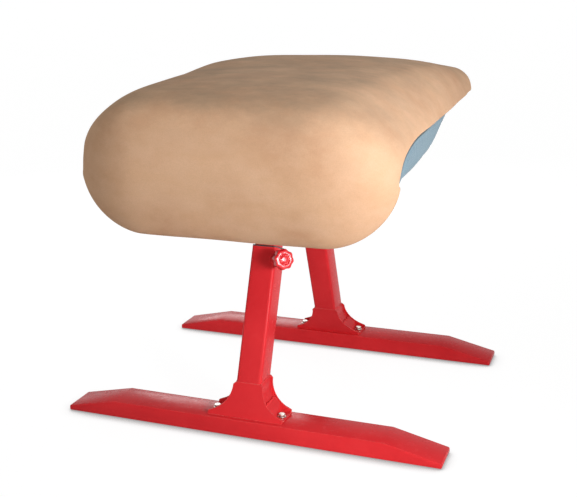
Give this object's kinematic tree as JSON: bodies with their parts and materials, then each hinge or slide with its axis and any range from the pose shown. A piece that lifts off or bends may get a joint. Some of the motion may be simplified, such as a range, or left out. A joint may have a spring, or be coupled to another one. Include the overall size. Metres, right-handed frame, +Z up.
{
  "type": "vaulting table",
  "caption": "Padded gymnastics vaulting table with a drooping nose on two splayed telescopic legs with runner feet and star-knob clamps.",
  "frame": {"origin": "on the floor, midway between the runners, under the middle of the padded top", "axes": "+X runs along the runners, +Y from the nose of the padded top to its tail, +Z up"},
  "size_m": [1.2, 1.2, 1.0691],
  "materials": {
    "suede": "brushed matt",
    "blue_vinyl": "satin",
    "red_paint": "gloss",
    "zinc": "zinc plated",
    "plywood": "raw",
    "rubber": "matt",
    "black_plastic": "moulded",
    "red_plastic": "moulded"
  },
  "bodies": {
    "front_leg": {"front_outer_tube": "red_paint", "front_guide_bush": "black_plastic", "front_clamp_boss": "red_paint", "front_outer_plate": "red_paint", "front_inner_plate": "red_paint", "front_runner": "red_paint", "front_upper_strip_right": "red_paint", "front_upper_strip_left": "red_paint", "front_lower_strip_right": "red_paint", "front_lower_strip_left": "red_paint", "front_foot_bolt_right": "zinc", "front_foot_bolt_left": "zinc", "front_foot_nut_right": "zinc", "front_foot_nut_left": "zinc", "front_foot_washer_right": "zinc", "front_foot_washer_left": "zinc", "front_grip_pad_right": "rubber", "front_grip_pad_left": "rubber"},
    "table": {"top_pad": "suede", "body_shell": "plywood", "underside_panel": "blue_vinyl", "side_skirt_right": "blue_vinyl", "side_skirt_left": "blue_vinyl", "rib_right": "plywood", "rib_left": "plywood", "head_bearer": "plywood", "head_plate": "red_paint", "head_cheek_right": "red_paint", "head_cheek_left": "red_paint", "head_screw_1": "zinc", "head_screw_2": "zinc", "head_screw_3": "zinc", "head_screw_4": "zinc", "front_inner_tube": "red_paint", "front_end_plug": "black_plastic", "rear_inner_tube": "red_paint", "rear_end_plug": "black_plastic"},
    "rear_leg": {"rear_outer_tube": "red_paint", "rear_guide_bush": "black_plastic", "rear_clamp_boss": "red_paint", "rear_outer_plate": "red_paint", "rear_inner_plate": "red_paint", "rear_runner": "red_paint", "rear_upper_strip_right": "red_paint", "rear_upper_strip_left": "red_paint", "rear_lower_strip_right": "red_paint", "rear_lower_strip_left": "red_paint", "rear_foot_bolt_right": "zinc", "rear_foot_bolt_left": "zinc", "rear_foot_nut_right": "zinc", "rear_foot_nut_left": "zinc", "rear_foot_washer_right": "zinc", "rear_foot_washer_left": "zinc", "rear_grip_pad_right": "rubber", "rear_grip_pad_left": "rubber"},
    "front_knob": {"front_clamp_screw": "zinc", "front_star_knob": "red_plastic"},
    "rear_knob": {"rear_clamp_screw": "zinc", "rear_star_knob": "red_plastic"}
  },
  "joints": [
    {"name": "front_height", "type": "slide", "parent": "front_leg", "child": "table", "axis": [0, 0.3584, 0.9336], "range_m": [0, 0.305]},
    {"name": "rear_height", "type": "slide", "parent": "table", "child": "rear_leg", "axis": [0, 0.3584, -0.9336], "range_m": [0, 0.305]},
    {"name": "front_clamp", "type": "hinge", "parent": "front_leg", "child": "front_knob", "pos_m": [0, -0.2283, 0.4929], "axis": [0.7071, -0.6601, 0.2534], "range_deg": [0, 720]},
    {"name": "rear_clamp", "type": "hinge", "parent": "rear_leg", "child": "rear_knob", "pos_m": [0, 0.2283, 0.4929], "axis": [-0.7071, 0.6601, 0.2534], "range_deg": [0, 720]}
  ]
}
